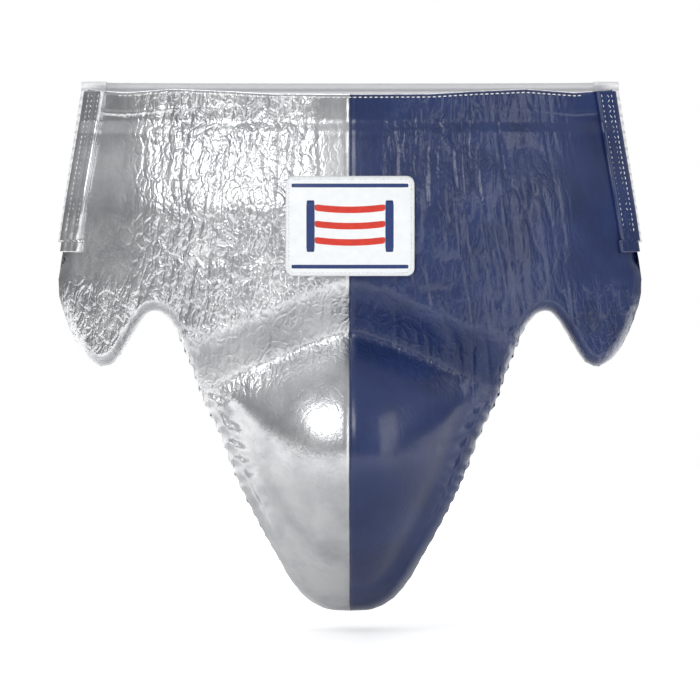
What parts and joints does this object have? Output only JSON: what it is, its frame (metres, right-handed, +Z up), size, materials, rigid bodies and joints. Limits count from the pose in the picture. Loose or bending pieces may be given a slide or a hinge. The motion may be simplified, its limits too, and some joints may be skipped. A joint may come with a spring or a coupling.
{
  "type": "groin protector",
  "caption": "Padded leather groin protector with a hard cup, wide hip wings, an elastic band behind the waist and elastic leg straps.",
  "frame": {"origin": "middle of the waist opening, level with the front panel's top corners", "axes": "+Z up, front of the panel faces -Y, +X towards the wearer's left"},
  "size_m": [0.3546, 0.1925, 0.316],
  "materials": {
    "silver_leather": "metallic foil, crinkled",
    "navy_leather": "glossy",
    "white_elastic": "ribbed knit",
    "lining_fabric": "matte",
    "foam": "open cell foam, matte",
    "cup_plastic": "moulded",
    "label_print": "smooth print",
    "thread": "twisted thread"
  },
  "bodies": {
    "front_panel": {"leather_shell_right": "silver_leather", "leather_shell_left": "navy_leather", "abdomen_foam": "foam", "hip_foam_right": "foam", "hip_foam_left": "foam", "cup_surround_foam": "foam", "cup_face_foam": "foam", "cup_rim_foam": "foam", "crotch_foam": "foam", "hard_cup": "cup_plastic", "back_lining": "lining_fabric", "cup_lining": "lining_fabric", "side_hem_right": "silver_leather", "side_hem_left": "navy_leather", "label_patch": "label_print", "strap_anchor": "navy_leather", "top_stitching": "thread", "side_stitching_right": "thread", "side_stitching_left": "thread", "label_stitching": "thread"},
    "rear_band": {"rear_elastic_band": "white_elastic", "leg_strap_right": "white_elastic", "leg_strap_left": "white_elastic", "strap_tab_right": "navy_leather", "strap_tab_left": "navy_leather"}
  },
  "joints": [
    {"name": "waistband_stretch", "type": "slide", "parent": "front_panel", "child": "rear_band", "axis": [0, 1, 0], "range_m": [0, 0.06], "stiffness_N_per_m": 400, "deforming": ["rear_elastic_band", "leg_strap_right", "leg_strap_left"]}
  ]
}
